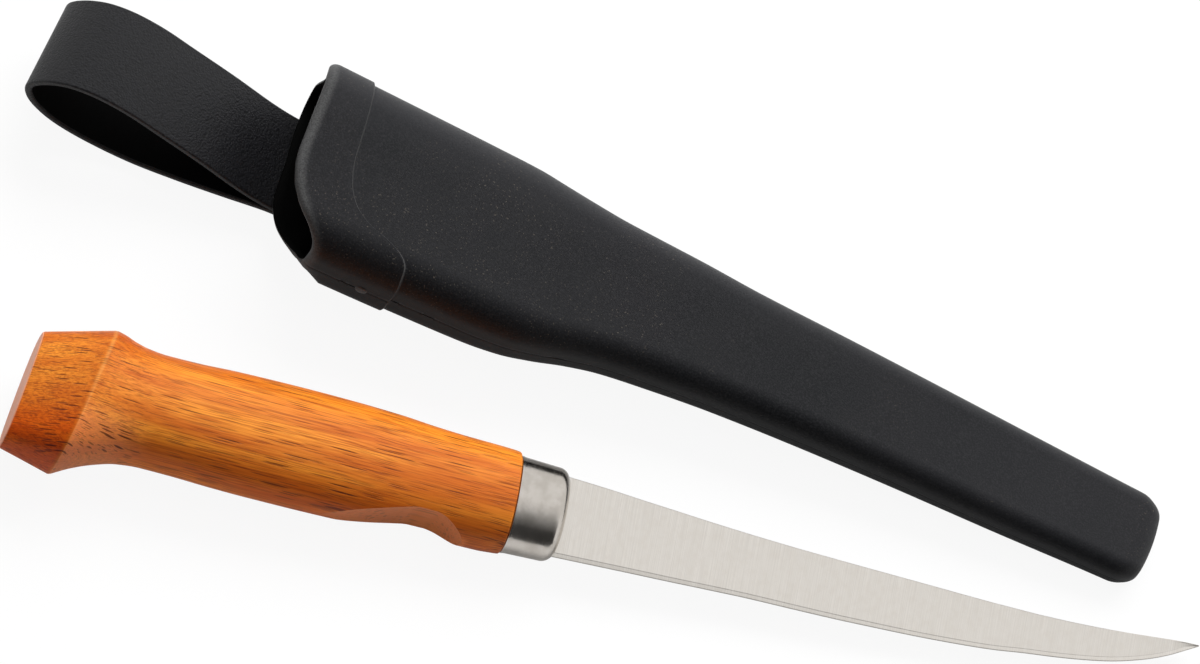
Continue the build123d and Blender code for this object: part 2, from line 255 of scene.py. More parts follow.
class Shader(Nodes):
    """Principled material whose patterns lie in the frame of the sheath or the knife."""

    def __init__(self, name, placed):
        self.material = bpy.data.materials.new(name)
        super().__init__(self.material)
        self.origin = placed.to_translation()
        self.turn = placed.to_euler()
        self.surface = self.add("ShaderNodeBsdfPrincipled")
        self.end("ShaderNodeOutputMaterial", self.surface)
        self.place = self.add("ShaderNodeTexCoord")

    def set(self, **values):
        for key, value in values.items():
            self.feed(self.surface.inputs[key.replace("_", " ")], value)

    def stretched(self, scale):
        """Place in the object's own frame, with a scale for each axis."""
        node = self.add("ShaderNodeMapping", vector_type="TEXTURE")
        self.link(self.place.outputs["Object"], node.inputs["Vector"])
        node.inputs["Location"].default_value = self.origin
        node.inputs["Rotation"].default_value = self.turn
        node.inputs["Scale"].default_value = [1 / part for part in scale]
        return node.outputs[0]

    def noise(self, scale, detail=4, rough=0.5, distort=0):
        node = self.add("ShaderNodeTexNoise")
        self.link(self.stretched(scale), node.inputs["Vector"])
        node.inputs["Scale"].default_value = 1
        node.inputs["Detail"].default_value = detail
        node.inputs["Roughness"].default_value = rough
        node.inputs["Distortion"].default_value = distort
        return node.outputs[0]

    def cells(self, scale, feature):
        node = self.add("ShaderNodeTexVoronoi", feature=feature)
        self.link(self.stretched(scale), node.inputs["Vector"])
        node.inputs["Scale"].default_value = 1
        return node.outputs

    def pores(self, scale, reach):
        """Scattered long dashes, each of its own depth."""
        cells = self.cells(scale, "F1")
        depth = self.add("ShaderNodeSeparateColor")
        self.link(cells["Color"], depth.inputs[0])
        dash = self.ramp(cells["Distance"], reach, 0.6 * reach)
        return self.maths("MULTIPLY", dash, self.ramp(depth.outputs[0], 0.1, 0.7, 0.25, 1))

    def bump(self, height, distance, strength=1.0, under=None):
        node = self.add("ShaderNodeBump")
        self.feed(node.inputs["Height"], height)
        node.inputs["Distance"].default_value = distance
        node.inputs["Strength"].default_value = strength
        if under:
            self.link(under, node.inputs["Normal"])
        return node.outputs[0]


def rgb(red, green, blue):
    """Linear colour of an sRGB one, 0 to 255."""
    shares = [value / 255 for value in (red, green, blue)]
    linear = [((v + 0.055) / 1.055) ** 2.4 if v > 0.04045 else v / 12.92 for v in shares]
    return (*linear, 1)


def wood():
    """Lacquered orange-brown hardwood: long figure, fine fibre, short dark open pores. It is darker and
    redder towards the spine, the belly and the end of the butt by painted shade, and paler in the finger
    notch by painted light."""
    s = Shader("hardwood", knife_frame)
    along, across = s.split(s.stretched((1, 1, 1)))[:2]
    facing_up = s.split(s.place.outputs["Normal"])[2]
    figure = s.noise((14, 170, 140), detail=3, rough=0.5, distort=0.25)
    fibre = s.noise((70, 2600, 2600), detail=3, rough=0.6)
    streaks = s.noise((24, 2600, 2600), detail=2, rough=0.6)
    colour = s.mix(s.ramp(figure, 0.3, 0.7), rgb(198, 102, 25), rgb(232, 146, 46))
    colour = s.mix(s.ramp(fibre, 0.35, 0.7, 0, 0.7), colour, rgb(172, 78, 15))
    colour = s.mix(s.ramp(streaks, 0.56, 0.66, 0, 0.45), colour, rgb(118, 46, 12))

    # Painted shade: darker and redder along the belly, and a painted floor reflection as a lighter line along
    # its very bottom
    colour = s.mix(s.ramp(across, -0.0075, -0.0125), colour, (1.0, 0.76, 0.5, 1), "MULTIPLY")
    colour = s.mix(s.ramp(across, -0.0115, -0.0145), colour, (1.4, 1.45, 1.5, 1), "MULTIPLY")

    # Flare before the butt's ridge: painted shade darkens it along the spine, as it darkens the spine edge
    # all along the handle; a painted sheen makes it paler along the belly; and a painted highlight brightens
    # the ridge
    beyond = s.maths("SUBTRACT", along, s.maths("MULTIPLY", across, ridge_tilt))
    facet = s.ramp(beyond, -0.1034, -0.1039)
    flare = s.maths("MULTIPLY", s.ramp(along, -0.086, -0.099), s.ramp(facet, 0, 1, 1, 0))
    upper_flare_shade = s.maths("MULTIPLY", flare, s.ramp(across, 0.005, 0.013))
    # Painted shade along the spine edge, the whole length of the handle
    spine = s.ramp(across, 0.0075, 0.0125, 0, 0.75)
    colour = s.mix(s.maths("MAXIMUM", upper_flare_shade, spine), colour, (0.84, 0.68, 0.52, 1), "MULTIPLY")
    # Painted sheen: paler along the belly side of the flare
    lower = s.maths("MULTIPLY", flare, s.ramp(across, -0.004, -0.013))
    colour = s.mix(s.maths("MULTIPLY", lower, 0.45), colour, rgb(240, 150, 96))
    # Painted highlight: a bright line along the ridge
    ridge_highlight = s.ramp(s.maths("ABSOLUTE", s.maths("ADD", beyond, 0.10385)), 0.0008, 0.0001)
    colour = s.mix(s.maths("MULTIPLY", ridge_highlight, 0.22), colour, rgb(242, 178, 92))

    # Painted light on the sideways faces of the finger notch stretch, painted shade on the lower facet behind
    # the ridge, and the end of the butt paler pink, partly end grain and partly painted highlight
    # Painted light: paler where faces in the finger notch stretch turn sideways
    notch = s.maths("MULTIPLY", s.ramp(along, -0.05, -0.038), s.ramp(along, -0.0085, -0.0105))
    notch = s.maths("MULTIPLY", notch, s.ramp(facing_up, 0.35, 0.12))
    colour = s.mix(s.maths("MULTIPLY", notch, 0.7), colour, rgb(250, 140, 66))
    # Painted shade: darker and redder towards the lower side of the facet
    lower_facet_shade = s.maths("MULTIPLY", facet, s.ramp(across, 0.003, -0.011))
    colour = s.mix(lower_facet_shade, colour, (0.78, 0.52, 0.24, 1), "MULTIPLY")
    # End of the butt: paler pink, partly end grain and partly painted highlight
    end = s.maths("SUBTRACT", along, s.maths("MULTIPLY", across, end_tilt))
    end = s.ramp(end, -0.1184, -0.1186)
    colour = s.mix(s.maths("MULTIPLY", end, 0.85), colour, rgb(250, 168, 128))

    # Pores, in patches, and faint on the end and on faces that turn away
    patches = s.ramp(s.noise((45, 160, 160), detail=1), 0.3, 0.55, 0.45, 1)
    coarse = s.maths("MULTIPLY", s.pores((75, 1900, 380), 0.34), patches)
    fine = s.maths("MULTIPLY", s.pores((100, 3000, 560), 0.34), 0.65)
    flecks = s.maths("MAXIMUM", coarse, fine)
    flecks = s.maths("MULTIPLY", flecks, s.ramp(end, 0, 1, 1, 0.3))
    level = s.ramp(s.maths("ABSOLUTE", facing_up), 0.1, 0.45, 0.35, 1)
    flecks = s.maths("MULTIPLY", flecks, level)
    colour = s.mix(s.maths("MULTIPLY", flecks, 0.9), colour, rgb(74, 24, 8))

    s.set(Base_Color=colour, Roughness=s.ramp(fibre, 0.3, 0.7, 0.36, 0.46))
    s.set(Specular_IOR_Level=0.18, Coat_Weight=0.05, Coat_Roughness=0.22)
    height = s.maths("SUBTRACT", s.maths("MULTIPLY", fibre, 0.25), flecks)
    s.set(Normal=s.bump(height, 0.00012, 0.5))
    return s.material


def blade_steel():
    """Satin steel with fine grinding lines across the blade."""
    s = Shader("blade_steel", knife_frame)
    lines = s.noise((5200, 25, 25), detail=2.5, rough=0.7)
    bands = s.noise((420, 6, 6), detail=2, rough=0.5)
    mottle = s.noise((700, 450, 450), detail=3, rough=0.6)
    colour = s.mix(s.ramp(lines, 0.3, 0.7), rgb(214, 209, 202), rgb(233, 228, 221))
    colour = s.mix(s.ramp(bands, 0.35, 0.65, 0, 0.3), colour, rgb(217, 212, 204))
    colour = s.mix(s.ramp(mottle, 0.4, 0.7, 0, 0.35), colour, rgb(214, 207, 198))
    s.set(Base_Color=colour, Metallic=1.0, Roughness=s.ramp(lines, 0.3, 0.7, 0.28, 0.36))
    s.set(Normal=s.bump(lines, 0.000008, 0.3))
    return s.material


def ferrule_steel():
    """Polished steel with faint turning lines round it."""
    s = Shader("ferrule_steel", knife_frame)
    lines = s.noise((3200, 160, 160), detail=3, rough=0.6)
    haze = s.noise((260, 260, 260), detail=3)
    colour = s.mix(s.ramp(haze, 0.35, 0.65), rgb(190, 184, 176), rgb(204, 198, 191))
    s.set(Base_Color=colour, Metallic=1.0, Roughness=s.ramp(lines, 0.3, 0.7, 0.14, 0.26))
    dents = s.bump(haze, 0.00012, 0.25)
    s.set(Normal=s.bump(lines, 0.000012, 0.5, dents))
    return s.material


def sheath_plastic():
    """Matte charcoal moulding with a fine spark-eroded skin and a little dust, lighter towards its upper edge
    by painted light and paler towards the tip, with painted highlights on its edges and some dust and wear on
    the lip.
    """
    s = Shader("sheath_plastic", sheath_frame)
    cloud = s.noise((38, 38, 38), detail=3)
    grain = s.noise((2600, 2600, 2600), detail=2, rough=0.6)
    dust = s.noise((2300, 2300, 2300), detail=1, rough=0.4)
    specks = s.maths("MULTIPLY", s.ramp(dust, 0.67, 0.75), s.ramp(cloud, 0.4, 0.7))
    colour = s.mix(s.ramp(cloud, 0.3, 0.7), rgb(17, 18, 20), rgb(22, 22, 24))
    colour = s.mix(s.ramp(grain, 0.4, 0.7, 0, 0.9), colour, rgb(34, 34, 36))
    along, across = s.split(s.stretched((1, 1, 1)))[:2]
    # Painted light: lighter towards the upper edge of the sheath, and also paler towards the tip
    upper_light_and_paler_tip = s.maths("MAXIMUM", s.ramp(across, 0.001, 0.015), s.ramp(along, 0.12, 0.2, 0, 0.5))
    colour = s.mix(s.maths("MULTIPLY", upper_light_and_paler_tip, 0.35), colour, rgb(46, 46, 49))
    colour = s.mix(s.maths("MULTIPLY", specks, 0.6), colour, rgb(88, 82, 74))
    # Painted highlight on the lip, the top edge, the collar's step and the rim of the tip, with some dust and
    # wear on the lip, from the mesh's point attribute
    highlight_and_wear = s.add("ShaderNodeAttribute", attribute_name="highlight_and_wear").outputs["Fac"]
    highlight_and_wear_share = s.maths("MULTIPLY", highlight_and_wear, s.ramp(grain, 0.3, 0.65, 0.45, 1))
    colour = s.mix(highlight_and_wear_share, colour, rgb(75, 75, 75))
    s.set(Base_Color=colour, Roughness=s.ramp(grain, 0.3, 0.7, 0.44, 0.54), Specular_IOR_Level=0.17)
    s.set(Normal=s.bump(grain, 0.00008, 0.4))
    return s.material


def strap_material():
    """Black strap with a fine pebble grain."""
    s = Shader("strap", sheath_frame)
    pebble = s.cells((2300, 2300, 2300), "SMOOTH_F1")["Distance"]
    wrinkle = s.noise((1500, 1500, 1500), detail=2)
    colour = s.mix(s.ramp(pebble, 0.15, 0.7), rgb(20, 20, 23), rgb(8, 8, 10))
    colour = s.mix(s.ramp(wrinkle, 0.35, 0.7, 0, 0.4), colour, rgb(13, 13, 16))
    s.set(Base_Color=colour, Roughness=0.5, Specular_IOR_Level=0.4)
    height = s.maths("SUBTRACT", s.maths("MULTIPLY", wrinkle, 0.6), pebble)
    s.set(Normal=s.bump(height, 0.00016, 0.8))
    return s.material


def mottled(name, placed, scale, detail, tones, span, rough, **finish):
    """Material that clouds between two tones, and its roughness with it."""
    s = Shader(name, placed)
    cloud = s.noise(scale, detail=detail)
    s.set(Base_Color=s.mix(s.ramp(cloud, *span), *tones), Roughness=s.ramp(cloud, *rough), **finish)
    return s.material


hardwood = wood()
blade_finish = blade_steel()
ferrule_finish = ferrule_steel()
plastic = sheath_plastic()
strap_finish = strap_material()
# Painted shade: near-black copies of the plastics for the inside of the sheath and the back of the strap
shade_painted_inside = mottled(
    "sheath_inside_painted_shade", sheath_frame, (120, 120, 120), 3, (rgb(3, 3, 3), rgb(6, 6, 6)),
    (0.3, 0.7), (0.3, 0.7, 0.6, 0.7), Specular_IOR_Level=0.04,
)
shade_painted_strap_back = mottled(
    "strap_inside_painted_shade", sheath_frame, (900, 300, 900), 3, (rgb(4, 4, 4), rgb(7, 7, 7)),
    (0.3, 0.7), (0.3, 0.7, 0.6, 0.75), Specular_IOR_Level=0.05,
)
rivet_finish = mottled(
    "rivet_steel", sheath_frame, (900, 900, 900), 3, (rgb(112, 112, 114), rgb(146, 146, 148)),
    (0.35, 0.7), (0.3, 0.7, 0.3, 0.42), Metallic=1.0,
)
pin_finish = mottled(
    "pin_metal", sheath_frame, (1600, 1600, 1600), 2, (rgb(30, 29, 29), rgb(42, 40, 39)),
    (0.35, 0.7), (0.3, 0.7, 0.35, 0.5),
)
resin_finish = mottled(
    "resin", knife_frame, (900, 900, 900), 2, (rgb(176, 150, 96), rgb(206, 184, 132)),
    (0.4, 0.75), (0.4, 0.7, 0.3, 0.5),
)


# Handle: rows of place behind the joint, spine side, belly, thickness, squareness and slant
handle_rows = [
    (0.0, 12.61, -12.19, 18.6, 2.2, 0),
    (2.4, 12.87, -12.46, 18.64, 2.2, 0),
    (6.0, 13.04, -12.78, 18.5, 2.2, 0),
    (10.7, 13.15, -12.86, 18.4, 2.2, 0),
    (14.5, 13.25, -12.94, 18.36, 2.2, 0),
    (22.0, 13.65, -13.35, 18.5, 2.2, 0),
    (30.0, 14.25, -13.80, 19.0, 2.2, 0),
    (42.1, 14.61, -14.15, 19.8, 2.2, 0),
    (52.4, 14.69, -14.31, 20.0, 2.2, 0),
    (62.0, 14.60, -14.34, 20.06, 2.2, 0),
    (69.9, 14.42, -14.22, 20.2, 2.2, 0),
    (80.0, 13.91, -13.83, 20.6, 2.2, 0),
    (87.6, 13.80, -13.71, 21.4, 2.2, 1),
    (92.5, 14.14, -14.18, 22.4, 2.25, 3),
    (96.7, 14.92, -15.80, 23.6, 2.3, 7),
    (100.7, 16.03, -18.09, 25.0, 2.4, 10),
    (104.14, 16.66, -20.95, 26.4, 2.5, 13),
]
butt_row = (119.15, 12.34, -18.06, 14.6, 2.5, 9)

# Roundings of the wood, and its nose inside the ferrule
lip_radius = 0.3
shoulder_place = 0.65
ridge_radius = 0.35
ridge_inset = 0.1
butt_radius = 0.35
nose_length = 8.0
nose_inset = 1.1

# Ferrule: its outline at the back, how much smaller it is at the front
ferrule_length = 12.0
ferrule_depth = 23.5
ferrule_thickness = 18.0
ferrule_squareness = 2.2
ferrule_front_share = 0.96
oval_points = 144


def oval(depth, thickness, squareness):
    """Points of a squared oval as (across, up)."""
    points = []
    for k in range(oval_points):
        angle = 2 * pi * k / oval_points
        across = copysign(abs(cos(angle)) ** (2 / squareness), cos(angle))
        up = copysign(abs(sin(angle)) ** (2 / squareness), sin(angle))
        points.append((across * depth / 2, up * thickness / 2))
    return points


def handle_ring(row, inset=0.0, back=0.0):
    """Ring of the handle, drawn in by an inset and moved back by a distance."""
    place, top, bottom, thickness, squareness, slant = row
    lean = radians(slant)
    middle = (top + bottom) / 2
    ring = oval(top - bottom - 2 * inset, thickness - 2 * inset, squareness)
    return [(-place - back + a * sin(lean), middle + a * cos(lean), up) for a, up in ring]


def between(first, second, share):
    """Row or point between two others."""
    return tuple(a + share * (b - a) for a, b in zip(first, second))


handle_curve = curve(handle_rows)
nose_oval = oval(ferrule_depth - 2 * nose_inset, ferrule_thickness - 2 * nose_inset, ferrule_squareness)
handle_rings = [[(place, across, up) for across, up in nose_oval] for place in (nose_length, -shoulder_place)]
for angle in (0, 22, 45, 67, 90):
    inset = lip_radius * (1 - sin(radians(angle)))
    place = shoulder_place + lip_radius * (1 - cos(radians(angle)))
    handle_rings.append(handle_ring((place, *handle_curve(place)), inset))
for place in spread(shoulder_place + 2 * lip_radius, ridge_place - ridge_radius, 230):
    handle_rings.append(handle_ring((place, *handle_curve(place))))
ridge_row = handle_rows[-1]
facet_length = butt_row[0] - ridge_row[0]
handle_rings.append(handle_ring(ridge_row, ridge_inset))
for share in spread(ridge_radius / facet_length, 1 - butt_radius / facet_length, 26):
    handle_rings.append(handle_ring(between(ridge_row, butt_row, share)))
for angle in (20, 40, 60, 80):
    inset = butt_radius * (1 - cos(radians(angle)))
    back = butt_radius * (sin(radians(angle)) - 1)
    handle_rings.append(handle_ring(butt_row, inset, back))
end_ring = handle_ring(butt_row, butt_radius)
end_centre = [sum(axis) / len(end_ring) for axis in zip(*end_ring)]
for share in (0.85, 0.6, 0.3, 0.08):
    handle_rings.append([between(end_centre, point, share) for point in end_ring])

handle = closed_mesh("handle_wood", handle_rings, knife_frame)

# Scooped finger notch: places behind the joint and how far across its floor lies
notch_rows = [
    (8.6, -14.0),
    (10.2, -12.8),
    (12.2, -11.35),
    (14.5, -9.9),
    (16.5, -9.0),
    (18.5, -8.6),
    (22.0, -8.6),
    (26.0, -9.45),
    (30.0, -10.6),
    (35.0, -12.0),
    (42.0, -13.9),
    (48.0, -14.9),
    (54.0, -16.0),
]
notch_curve = curve(notch_rows)
notch_half_width = 20.0
notch_crown = 0.006
notch_lean = 0.1
notch_bottom = -25.0


def notch_ring(up):
    """Outline of the cutter at a height, its floor crowned and leaning a little over the handle."""
    places = spread(notch_rows[0][0], notch_rows[-1][0], 90)
    lower = notch_crown * up * up + notch_lean * up
    scoop = [(-place, notch_curve(place)[0] - lower, up) for place in places]
    return scoop + [(-places[-1], notch_bottom, up), (-places[0], notch_bottom, up)]


notch_rings = [notch_ring(up) for up in spread(-notch_half_width, notch_half_width, 41)]
carve(handle, closed_mesh("notch", notch_rings, knife_frame))
dress(handle, hardwood, "knife", crease=11)
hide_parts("handle")

# Ferrule: drawn cap with a rolled front edge, hollow over the nose of the handle
ferrule_wall = 0.9
ferrule_front_wall = 1.4
ferrule_edge_radius = 2.8
ferrule_back_radius = 0.25
ferrule_back = -0.55
bead_length = 1.5
bead_height = 0.14


def ferrule_ring(place, inset):
    """Ring of the ferrule at a place, drawn in by an inset."""
    taper = 1 - (1 - ferrule_front_share) * max(place, 0) / ferrule_length
    depth = ferrule_depth * taper - 2 * inset
    thickness = ferrule_thickness * taper - 2 * inset
    return [(place, across, up) for across, up in oval(depth, thickness, ferrule_squareness)]


def bead(place):
    """How much the ferrule swells towards its back end."""
    return bead_height * (1 - eased(place - ferrule_back, 0, bead_length))


# From the middle of the inner face back along the bore, round the back edge and forward outside
inner_end = ferrule_length - ferrule_front_wall
turn_place = ferrule_back + ferrule_back_radius
edge_place = ferrule_length - ferrule_edge_radius
ferrule_rings = [ferrule_ring(inner_end, ferrule_wall + reach) for reach in (8.0, 5.0, 2.0, 1.0)]
for drop, inset in ((0.15, 0.3), (0.5, 0.0)):
    ferrule_rings.append(ferrule_ring(inner_end - drop, ferrule_wall + inset))
for place in spread(inner_end - 1.0, turn_place, 8):
    ferrule_rings.append(ferrule_ring(place, ferrule_wall))
for angle in spread(0, 180, 13):
    outer = (1 - cos(radians(angle))) / 2
    place = turn_place - ferrule_back_radius * sin(radians(angle))
    ferrule_rings.append(ferrule_ring(place, ferrule_wall * (1 - outer) - bead(place) * outer))
for place in spread(turn_place + 0.1, edge_place, 40):
    ferrule_rings.append(ferrule_ring(place, -bead(place)))
for angle in spread(6, 90, 15):
    inset = ferrule_edge_radius * (1 - cos(radians(angle)))
    ferrule_rings.append(ferrule_ring(edge_place + ferrule_edge_radius * sin(radians(angle)), inset))
for more in (0.6, 2.0, 4.0, 5.6):
    ferrule_rings.append(ferrule_ring(ferrule_length, ferrule_edge_radius + more))
ferrule = closed_mesh("ferrule_cap", ferrule_rings, knife_frame)

# Slot for the blade in the ferrule's front
slot_clearance = 0.1
slot_overrun = 3
heel_spine = 10.11
heel_edge = -10.45
tang_thickness = 1.8


def bar_ring(place, spine, edge, half):
    """Rectangle across the knife."""
    return [(place, spine, half), (place, edge, half), (place, edge, -half), (place, spine, -half)]


slot_size = (heel_spine + slot_clearance, heel_edge - slot_clearance, tang_thickness / 2 + slot_clearance)
slot_ends = (inner_end - slot_overrun, ferrule_length + slot_overrun)
slot_rings = [bar_ring(place, *slot_size) for place in slot_ends]
carve(ferrule, closed_mesh("slot", slot_rings, knife_frame))
dress(ferrule, ferrule_finish, "knife", crease=35)
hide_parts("ferrule")

# Blade: rows of place along it from the ferrule's front, spine, edge and thickness
blade_length = 155.1
blade_rows = [
    (0.0, heel_spine, heel_edge, 2.0),
    (9.5, 9.67, -10.00, 1.98),
    (18.6, 9.05, -9.58, 1.94),
    (27.6, 8.50, -9.20, 1.9),
    (37.2, 7.91, -8.73, 1.84),
    (47.6, 7.40, -8.29, 1.78),
    (57.4, 7.06, -8.1, 1.72),
    (67.8, 6.83, -7.85, 1.64),
    (77.5, 6.66, -7.45, 1.56),
    (87.8, 6.49, -6.95, 1.48),
    (96.9, 6.32, -6.3, 1.4),
    (105.8, 6.20, -5.45, 1.32),
    (114.0, 6.20, -4.21, 1.24),
    (121.9, 6.39, -3.15, 1.16),
    (128.7, 6.73, -2.01, 1.08),
    (134.9, 7.19, -0.66, 1.0),
    (139.9, 7.66, 0.89, 0.94),
    (144.6, 8.16, 2.71, 0.88),
    (148.6, 8.59, 4.70, 0.8),
    (152.0, 8.86, 6.75, 0.7),
    (155.1, 8.99, 8.65, 0.56),
]

# Ground edge and the line scribed above it
bevel_height = 1.15
edge_thickness = 0.16
edge_softness = 0.02
shoulder_share = 0.31
spine_rounding = 0.18
scribe_width = 0.12
scribe_depth = 0.05
blade_curve = curve(blade_rows)


def blade_ring(place):
    """Ring of the blade: rounded spine, flat sides, ground edge with a scribed line above it."""
    spine, edge, thickness = blade_curve(place)
    half = thickness / 2
    shoulder = edge + min(bevel_height, (spine - edge) / 2)
    half_shoulder = half * shoulder_share
    side = [
        (spine, 0),
        (spine, half - spine_rounding),
        (spine - 0.3 * spine_rounding, half - 0.3 * spine_rounding),
        (spine - spine_rounding, half),
    ]
    for share in (0.25, 0.5, 0.75, 1.0):
        side.append((spine + share * (shoulder - spine), half + share * (half_shoulder - half)))
    side.append((shoulder - scribe_width, half_shoulder - min(scribe_depth, 0.2 * half_shoulder)))
    side.append((edge + 1.4 * scribe_width, edge_thickness / 2 + 0.4 * scribe_depth + edge_softness))
    side.append((edge, edge_thickness / 2 - edge_softness))
    ring = side + [(across, -up) for across, up in reversed(side[1:])]
    return [(ferrule_length + place, across, up) for across, up in ring]


blade_rings = [blade_ring(place) for place in spread(0, blade_length, 320)]
heel_rings = [
    [(place - drop, across, up) for place, across, up in blade_ring(0)] for drop in (ferrule_front_wall, 0.05)
]
blade = closed_mesh("blade_ground", heel_rings + blade_rings, knife_frame)
dress(blade, blade_finish, "knife", crease=3)

# Tang: the narrow tail of the blade inside the handle
tang_end = ferrule_length - 92.0
tang_rows = [(inner_end, 5.0), (tang_end + 1.5, 3.55), (tang_end, 2.2)]
tang_rings = [bar_ring(place, half, -half, tang_thickness / 2) for place, half in tang_rows]
tang = closed_mesh("blade_tang", tang_rings, knife_frame)
dress(tang, blade_finish, "knife", crease=30)
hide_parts("blade")

# Sheath: rows of place from the mouth, lower edge, upper edge, thickness and corner radius
sheath_rows = [
    (0.0, -27.49, 19.11, 24.4, 8.05),
    (25.6, -27.21, 18.27, 24.01, 7.92),
    (41.7, -26.89, 17.75, 23.42, 7.73),
    (53.6, -26.61, 17.38, 22.57, 7.67),
    (61.8, -25.91, 16.59, 21.35, 7.47),
    (69.7, -24.19, 15.84, 19.28, 6.75),
    (77.7, -21.90, 15.24, 17.57, 6.32),
    (85.6, -20.13, 14.87, 16.59, 5.97),
    (97.8, -18.69, 14.31, 15.81, 5.85),
    (113.7, -17.20, 13.19, 15.01, 5.55),
    (137.7, -15.98, 12.21, 14.01, 5.18),
    (161.8, -15.28, 11.04, 13.01, 4.81),
    (185.8, -14.87, 9.83, 11.81, 4.37),
    (209.7, -14.26, 8.71, 10.59, 4.02),
    (220.7, -14.07, 8.25, 10.0, 3.8),
]
sheath_wall = 1.8
sheath_end_wall = 2.4
collar_step = 0.7

# The seam's groove and its open slits, as places from the mouth
seam_depth = 0.04
seam_width = 0.12
slit_depth = 0.5
slit_fade = 0.4
slits = [(20.4, 21.4), (22.6, 23.8), (33.0, 34.9), (41.2, 43.6), (73.5, 75.5)]

# Points of a half section: three of the seam and three up the side, a corner, the flat, a corner and
# the same side again. The upper corner starts at top_corner.
corner_points = 16
flat_points = 60
top_corner = 6 + corner_points + flat_points - 2

# The lip of the mouth, the collar's step, and the place from which a loop lies square across
lip_steps = 9
# Painted highlight on the top edge and round the tip's end
rim_highlight = 0.3
lip_length = 2.4
lip_outer_cut = 1.5
lip_inner_cut = 0.8
step_length = 0.75
settle_place = 66.0

# The rounded end: its length, the plastic left inside it, how round its corners stay, and its bow
tip_length = 5.5
tip_skin = 0.6
tip_roundness = 0.44
tip_bulge = 1.0
tip_middle = -3.5
tip_half = 9.5
sheath_curve = curve(sheath_rows)

# How far the mouth stands back from its front, by the place across, on the front and on the back
front_mouth = curve([
    (-40.0, 12.0), (-28.2, 10.9), (-26.9, 10.3), (-24.2, 7.8), (-21.4, 4.8), (-18.0, 2.2), (-14.8, 0.6),
    (-10.0, 0.0), (25.0, 0.0),
])
back_mouth = curve([
    (-40.0, 10.0), (-28.2, 9.8), (-27.3, 9.5), (-25.6, 8.7), (-22.9, 7.3), (-20.3, 5.4), (-17.3, 3.2),
    (-14.2, 1.5), (-12.5, 0.7), (-9.5, 0.0), (0.0, -0.4), (8.0, -1.1), (25.0, -1.2),
])
mouth_blend = (0.5, 7.0)
mouth_lead = 1.5

# The lower corner of the back draws in towards the mouth
tuck_start = 16.8
tuck_slope = 0.43
tuck_most = 2.6

# How far behind the mouth the collar's step lies, by the place across
step_curve = curve([
    (-40.0, 33.0), (-28.5, 32.8), (-26.0, 32.3), (-23.5, 31.7), (-22.0, 30.5), (-20.5, 28.2), (-19.1, 24.7),
    (-17.5, 19.8), (-14.1, 15.3), (-9.7, 12.8), (-4.1, 11.4), (0.5, 11.0), (7.5, 10.5), (15.8, 9.6),
    (25.0, 9.3),
])


def slit(place):
    """How far a gap in the seam is open at a place, 0 to 1."""
    shares = []
    for start, end in slits:
        shares.append(eased(place, start - slit_fade, start) * (1 - eased(place, end, end + slit_fade)))
    return max(shares)


def half_section(low, high, thickness, corner, facing, seam, gap=0.0):
    """Half of a rounded rectangle from its lower edge round to its upper edge, as (across, up). The edges
    draw in by the seam, and the lower one also where a gap in the seam is open."""
    half = thickness / 2
    side = half - corner - seam_width
    low_seam = seam + gap * slit_depth
    low_width = seam_width * (1 + gap)
    points = [(low + low_seam, 0.0), (low + 0.25 * low_seam, 0.8 * low_width), (low, low_width)]
    points += [(low, seam_width + side * share) for share in (0.25, 0.5, 0.75)]
    for angle in spread(0, 90, corner_points):
        turn = radians(angle)
        points.append((low + corner * (1 - cos(turn)), half - corner * (1 - sin(turn))))
    for share in spread(0, 1, flat_points)[1:-1]:
        points.append((low + corner + share * (high - low - 2 * corner), half))
    for angle in spread(90, 0, corner_points):
        turn = radians(angle)
        points.append((high - corner * (1 - cos(turn)), half - corner * (1 - sin(turn))))
    points += [(high, seam_width + side * share) for share in (0.75, 0.5, 0.25)]
    points += [(high, seam_width), (high - 0.25 * seam, 0.6 * seam_width), (high - seam, 0.0)]
    return [(across, up * facing) for across, up in points]


def mouth_at(across, up):
    """How far the mouth stands back at a point of its outline."""
    front = front_mouth(across)[0]
    back = back_mouth(across)[0]
    lead = mouth_lead * eased(up, -4, 10) * eased(across, -18, -6)
    return front + eased(-up, *mouth_blend) * (back - front) - lead


def tucked(place, across, up):
    """Point of the sheath, with the lower corner of the back drawn in and the end of the tip bowed."""
    amount = min(max(tuck_slope * (tuck_start - place), 0), tuck_most)
    amount *= eased(-up, 0, 9) * eased(-across, 14, 28)
    bulge = tip_bulge * (1 - ((across - tip_middle) / tip_half) ** 2)
    bulge *= eased(place, sheath_length - 4 * tip_length, sheath_length)
    return place + bulge, across + amount, up + 0.5 * amount


